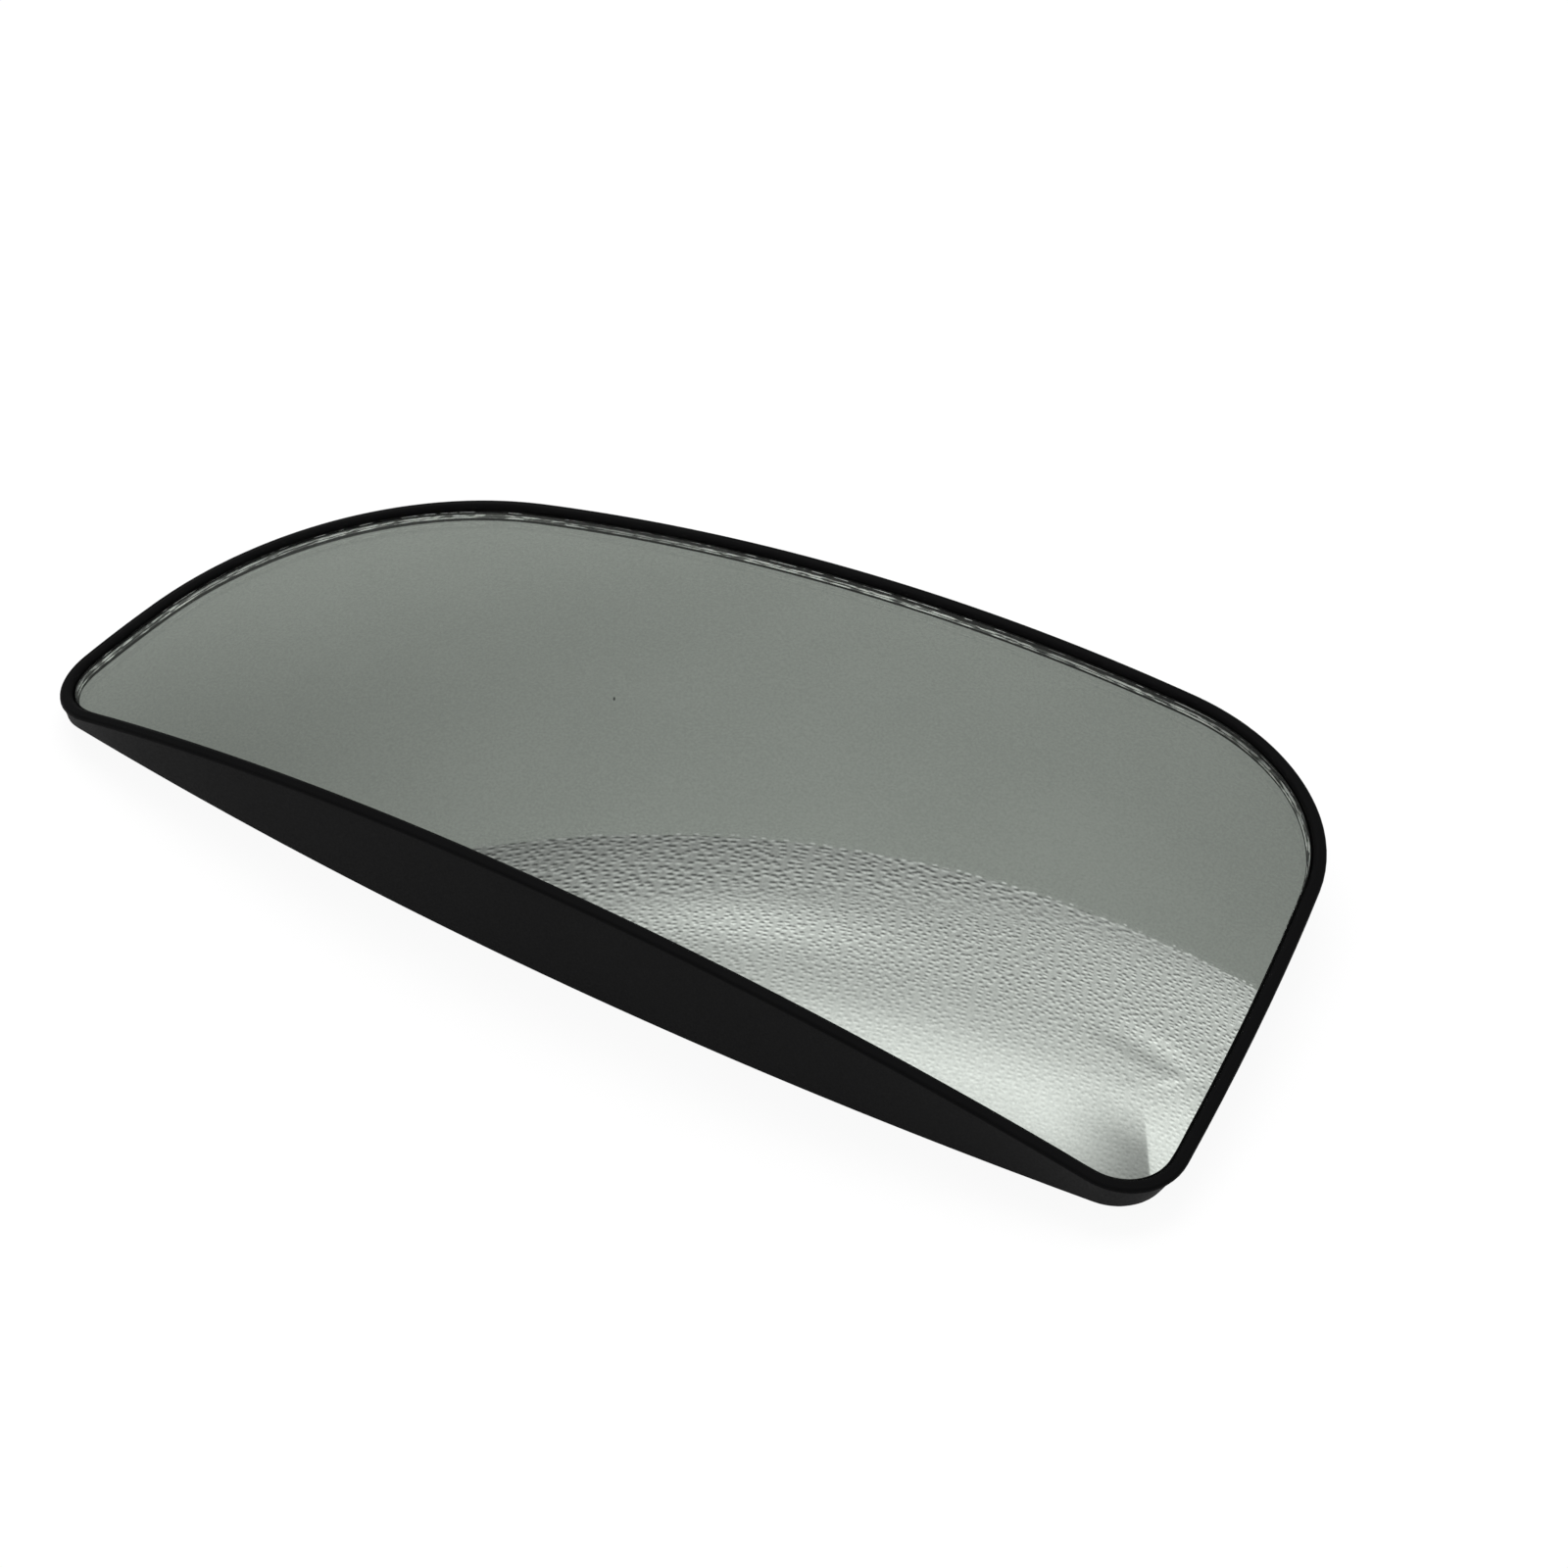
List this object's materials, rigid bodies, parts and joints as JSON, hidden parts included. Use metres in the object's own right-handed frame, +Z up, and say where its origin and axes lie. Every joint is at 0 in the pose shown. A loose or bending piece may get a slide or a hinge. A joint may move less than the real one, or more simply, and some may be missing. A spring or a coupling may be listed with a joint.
{
  "type": "door mirror glass",
  "caption": "Convex wide-angle door mirror glass bonded into a black moulded carrier with a raised rim lip, a deep skirt along its long edge and a ribbed back with a clip socket.",
  "frame": {"origin": "on the dome's axis in the plane of the foot, at the mouth of the clip socket", "axes": "+Z up out of the mirror face, +X along the long straight edge, +Y from the long edge to the rounded far side"},
  "size_m": [0.1955, 0.0935, 0.0231],
  "materials": {
    "carrier": "fine-grained matte black moulded plastic",
    "mirror_glass": "clear glass silvered on its back, with a ground edge",
    "adhesive_pad": "off-white closed-cell foam tape"
  },
  "bodies": {
    "root": {"carrier": "carrier", "mirror_glass": "mirror_glass", "adhesive_pad": "adhesive_pad"}
  },
  "joints": []
}
